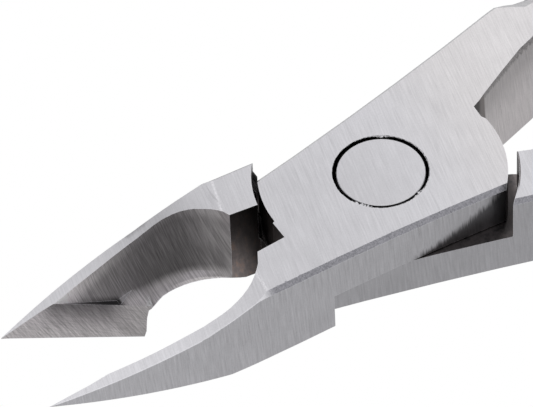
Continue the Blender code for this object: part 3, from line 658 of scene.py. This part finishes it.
def vinyl(name):
    """Dipped vinyl: fine pores, slow waves, lengthwise scuffs, and a darker glossy band behind the lip."""
    material, nodes, shader = new_material(name)
    place = place_and_normal(nodes)[0]
    x = nodes.split(place)[0]
    pores = nodes.noise(place, 5.0, 3.0, 0.6)
    waves = nodes.noise(place, 0.22, 2.0, 0.5)
    broad = nodes.noise(place, 0.3, 3.0, 0.5)
    scuffs = streaks(nodes, place, (1.0, 0.0, 0.0), (0.0, 0.8, 0.6), 7.0, 0.3, 81.0)
    scuffs = nodes.math("MULTIPLY", nodes.remap(scuffs, 0.62, 0.78), nodes.remap(broad, 0.42, 0.6))
    dust = nodes.remap(nodes.noise(place, 3.4, 2.0, 0.4), 0.72, 0.78)
    colour = nodes.mix(broad, (0.014, 0.027, 0.06), (0.028, 0.046, 0.088))
    colour = nodes.mix(nodes.math("MULTIPLY", scuffs, 0.5), colour, (0.07, 0.09, 0.13))
    colour = nodes.mix(nodes.math("MULTIPLY", dust, 0.35), colour, (0.2, 0.21, 0.24))
    band = nodes.remap(nodes.math("ABSOLUTE", nodes.math("SUBTRACT", x, GRIP_LIP_X)), 0.45, 0.05)
    colour = nodes.mix(nodes.math("MULTIPLY", band, 0.7), colour, (0.008, 0.014, 0.03))
    nodes.put(shader.inputs["Base Color"], colour)
    rough = nodes.remap(pores, 0.3, 0.7, 0.36, 0.52)
    rough = nodes.math("ADD", rough, nodes.math("MULTIPLY", scuffs, 0.2))
    nodes.put(shader.inputs["Roughness"], nodes.math("SUBTRACT", rough, nodes.math("MULTIPLY", band, 0.12)))
    height = nodes.math("ADD", nodes.math("MULTIPLY", pores, 0.35), nodes.math("MULTIPLY", waves, 5.0))
    height = nodes.math("SUBTRACT", height, nodes.math("MULTIPLY", scuffs, 0.25))
    bump = nodes.add("ShaderNodeBump")
    bump.inputs["Strength"].default_value = 0.4
    bump.inputs["Distance"].default_value = 0.1 * MM
    nodes.put(bump.inputs["Height"], height)
    nodes.put(shader.inputs["Normal"], bump.outputs[0])
    return material


# ---------------------------------------------------------------- pieces


def welded_copy(node, name, fine_angle, round_angle, round_from):
    """A piece with the node's shape, its facets joined so that rounded parts shade smooth.

    Edges sharper than fine_angle stay crisp ahead of round_from, those over round_angle behind it.
    """
    mesh = node.data.copy()
    mesh.name = name
    mesh.materials.clear()
    work = bmesh.new()
    work.from_mesh(mesh)
    bmesh.ops.remove_doubles(work, verts=work.verts, dist=0.0005 * MM)
    bmesh.ops.dissolve_limit(
        work, angle_limit=math.radians(0.3), verts=work.verts, edges=work.edges
    )
    for face in work.faces:
        face.smooth = True
    for edge in work.edges:
        x = 0.5 * (edge.verts[0].co.x + edge.verts[1].co.x) / MM
        limit = math.radians(fine_angle if x < round_from else round_angle)
        if HEEL_SPAN[0] < x < HEEL_SPAN[1]:
            limit = math.radians(HEEL_ANGLE)
        edge.smooth = edge.is_manifold and edge.calc_face_angle(0.0) < limit
    work.to_mesh(mesh)
    work.free()
    attribute = mesh.attributes.get("custom_normal")
    if attribute:
        mesh.attributes.remove(attribute)
    piece = bpy.data.objects.new(name, mesh)
    bpy.context.scene.collection.objects.link(piece)
    weighted = piece.modifiers.new("flat faces first", "WEIGHTED_NORMAL")
    weighted.keep_sharp = True
    weighted.mode = "FACE_AREA_WITH_ANGLE"
    return piece


def dress(piece, material, body, node):
    piece.data.materials.clear()
    piece.data.materials.append(material)
    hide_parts(node)
    if body:
        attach(piece, body)
    return piece


def ring_strip(name, start, end, steps, inner, outer, low, high):
    """An arc-shaped strip about the pivot. inner, outer and high are functions of the step."""
    verts = []
    faces = []
    for k in range(steps + 1):
        angle = math.radians(start + (end - start) * k / steps)
        inner_high, outer_high = high(k)
        for radius, z in (
            (inner(k), low), (outer(k), low), (outer(k), outer_high), (inner(k), inner_high),
        ):
            verts.append((radius * math.cos(angle) * MM, radius * math.sin(angle) * MM, z * MM))
    for k in range(steps):
        for i in range(4):
            a, b = 4 * k + i, 4 * k + (i + 1) % 4
            faces.append((a, b, b + 4, a + 4))
    faces.append((3, 2, 1, 0))
    last = 4 * steps
    faces.append((last, last + 1, last + 2, last + 3))
    mesh = bpy.data.meshes.new(name)
    mesh.from_pydata(verts, [], faces)
    work = bmesh.new()
    work.from_mesh(mesh)
    bmesh.ops.recalc_face_normals(work, faces=work.faces)
    work.to_mesh(mesh)
    work.free()
    piece = bpy.data.objects.new(name, mesh)
    bpy.context.scene.collection.objects.link(piece)
    return piece


def gap_shade_filler(dice):
    """A near-black strip against the shoulder wall of half B, with a ragged top, that stands in for the shade
    in the gap there.
    """
    steps = 40
    tops = []
    for k in range(steps + 1):
        height = 5.25 - 0.3 * k / steps + dice.uniform(-0.16, 0.16)
        tops.append((height, height + 0.55))
    backs = [8.3 + dice.uniform(-0.03, 0.05) for _ in range(steps + 1)]
    return ring_strip(
        "shoulder_shade_filler", 142.4, 166.0, steps, lambda k: backs[k], lambda k: SHOULDER_R, 3.2, lambda k: tops[k]
    )


def bore_burr(dice):
    """The rolled edge of the rivet's bore in half A, thin at the upper left and torn in three places."""
    steps = 180
    tears = ((60.0, 13.0), (-68.0, 9.0), (-143.0, 15.0))
    inner = []
    for k in range(steps):
        angle = 360.0 * k / steps
        wide = 0.5 + 0.5 * math.cos(math.radians(angle + 40.0))
        reach = BORE_R - 0.015 - 0.05 * wide + dice.uniform(-0.02, 0.012)
        for centre, spread in tears:
            off = abs((angle - centre + 180.0) % 360.0 - 180.0) / spread
            if off < 1.0:
                reach -= (1.0 - off * off) * dice.uniform(0.0, 0.24)
        inner.append(max(reach, 3.0))
    inner.append(inner[0])
    return ring_strip(
        "bore_burr", 0.0, 360.0, steps, lambda k: inner[k], lambda k: BORE_R + 0.02, THICKNESS - 0.3,
        lambda k: (THICKNESS - 0.015, THICKNESS - 0.015),
    )


# ---------------------------------------------------------------- setting


def make_camera():
    data = bpy.data.cameras.new("camera")
    data.lens = CAMERA_LENS
    data.sensor_width = CAMERA_SENSOR
    data.sensor_fit = "HORIZONTAL"
    data.clip_start = 0.01
    data.clip_end = 5.0
    camera = bpy.data.objects.new("camera", data)
    bpy.context.scene.collection.objects.link(camera)
    right = Vector(CAMERA_RIGHT).normalized()
    back = Vector(CAMERA_BACK).normalized()
    up = back.cross(right).normalized()
    turn = Matrix((right, up, back)).transposed().to_4x4()
    turn.translation = Vector(CAMERA_PLACE) * MM
    camera.matrix_world = turn
    bpy.context.scene.camera = camera


def make_world():
    world = bpy.data.worlds.new("studio")
    bpy.context.scene.world = world
    world.use_nodes = True
    nodes = Nodes(world.node_tree)
    background = world.node_tree.nodes["Background"]
    coords = nodes.add("ShaderNodeTexCoord")
    height = nodes.split(coords.outputs["Generated"])[2]
    dome = nodes.remap(height, -0.2, 0.75, DOME_LOW, DOME_HIGH)
    white = nodes.add("ShaderNodeLightPath").outputs["Is Camera Ray"]
    level = nodes.lerp(white, dome, 1.0)
    nodes.put(background.inputs["Color"], nodes.combine(level, level, level))
    background.inputs["Strength"].default_value = 1.0


def make_floor(low_z):
    size = FLOOR_SIZE
    mesh = bpy.data.meshes.new("floor")
    square = [(-size, -size, 0.0), (size, -size, 0.0), (size, size, 0.0), (-size, size, 0.0)]
    mesh.from_pydata(square, [], [(0, 1, 2, 3)])
    floor = bpy.data.objects.new("floor", mesh)
    floor.location.z = low_z - 0.02 * MM
    bpy.context.scene.collection.objects.link(floor)
    material = bpy.data.materials.new("floor_white")
    material.use_nodes = True
    nodes = Nodes(material.node_tree)
    material.node_tree.nodes.remove(material.node_tree.nodes["Principled BSDF"])
    seen = nodes.add("ShaderNodeLightPath").outputs["Is Camera Ray"]
    glow = nodes.add("ShaderNodeEmission")
    nodes.put(glow.inputs["Strength"], nodes.lerp(seen, FLOOR_GLOW, 1.0))
    nodes.put(material.node_tree.nodes["Material Output"].inputs["Surface"], glow.outputs[0])
    mesh.materials.append(material)


def set_colours():
    scene = bpy.context.scene
    scene.view_settings.view_transform = "Standard"
    scene.view_settings.look = "None"
    scene.view_settings.exposure = 0.0
    scene.view_settings.gamma = 1.0


def corners(box):
    return [[float(v) for v in corner] for corner in box]


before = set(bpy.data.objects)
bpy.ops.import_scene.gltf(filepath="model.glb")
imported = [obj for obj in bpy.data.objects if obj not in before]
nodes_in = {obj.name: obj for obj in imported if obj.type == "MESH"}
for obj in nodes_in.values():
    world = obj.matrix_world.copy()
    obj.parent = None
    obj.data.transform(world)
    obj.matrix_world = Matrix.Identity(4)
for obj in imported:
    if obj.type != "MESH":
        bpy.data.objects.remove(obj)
cad_box = corners(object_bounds())
make_camera()
make_world()
make_floor(cad_box[0][2])
set_colours()

rivet_steel = plain_steel("rivet_face_steel", 201, 31.0)
spring_steel = plain_steel("spring_steel", 178, 41.0, 0.3)
screw_steel = plain_steel("screw_steel", 160, 51.0, 0.32)
vinyl_blue = vinyl("dipped_vinyl")
steel_of = {"a": half_a_steel("brushed_steel_a"), "b": half_b_steel("brushed_steel_b")}

for key, lap in (("a", "half_a_upper_lap"), ("b", "half_b_lower_lap")):
    half = welded_copy(nodes_in[lap], f"steel_half_{key}", HALF_FINE, HALF_ROUND, HALF_ROUND_X)
    dress(half, steel_of[key], f"half_{key}", lap)
rivet = welded_copy(nodes_in["pivot_rivet"], "rivet", 30, 30, 0)
dress(rivet, rivet_steel, "half_b", "pivot_rivet")
collar = welded_copy(nodes_in["rivet_collar"], "collar", 30, 30, 0)
dress(collar, rivet_steel, "half_b", "rivet_collar")
for key in ("a", "b"):
    screw = welded_copy(nodes_in[f"spring_screw_{key}"], f"screw_{key}", 30, 30, 0)
    dress(screw, screw_steel, f"half_{key}", f"spring_screw_{key}")
for key in ("a", "b"):
    grip = welded_copy(nodes_in[f"grip_{key}"], f"grip_sleeve_{key}", 50, 50, 0)
    dress(grip, vinyl_blue, f"half_{key}", f"grip_{key}")
for key, other in (("a", "b"), ("b", "a")):
    leaf = welded_copy(nodes_in[f"leaf_spring_{key}"], f"spring_leaf_{key}", 35, 35, 0)
    dress(leaf, spring_steel, None, f"leaf_spring_{key}")
    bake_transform(leaf)

dice = random.Random(7)
# A near-black piece that stands in for the shade in the gap by half B's shoulder
scale = gap_shade_filler(dice)
scale.data.materials.append(shade_filler_steel("gap_shade_filler"))
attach(scale, "half_b")
burr = bore_burr(dice)
burr.data.materials.append(burr_steel("burr_steel"))
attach(burr, "half_a")
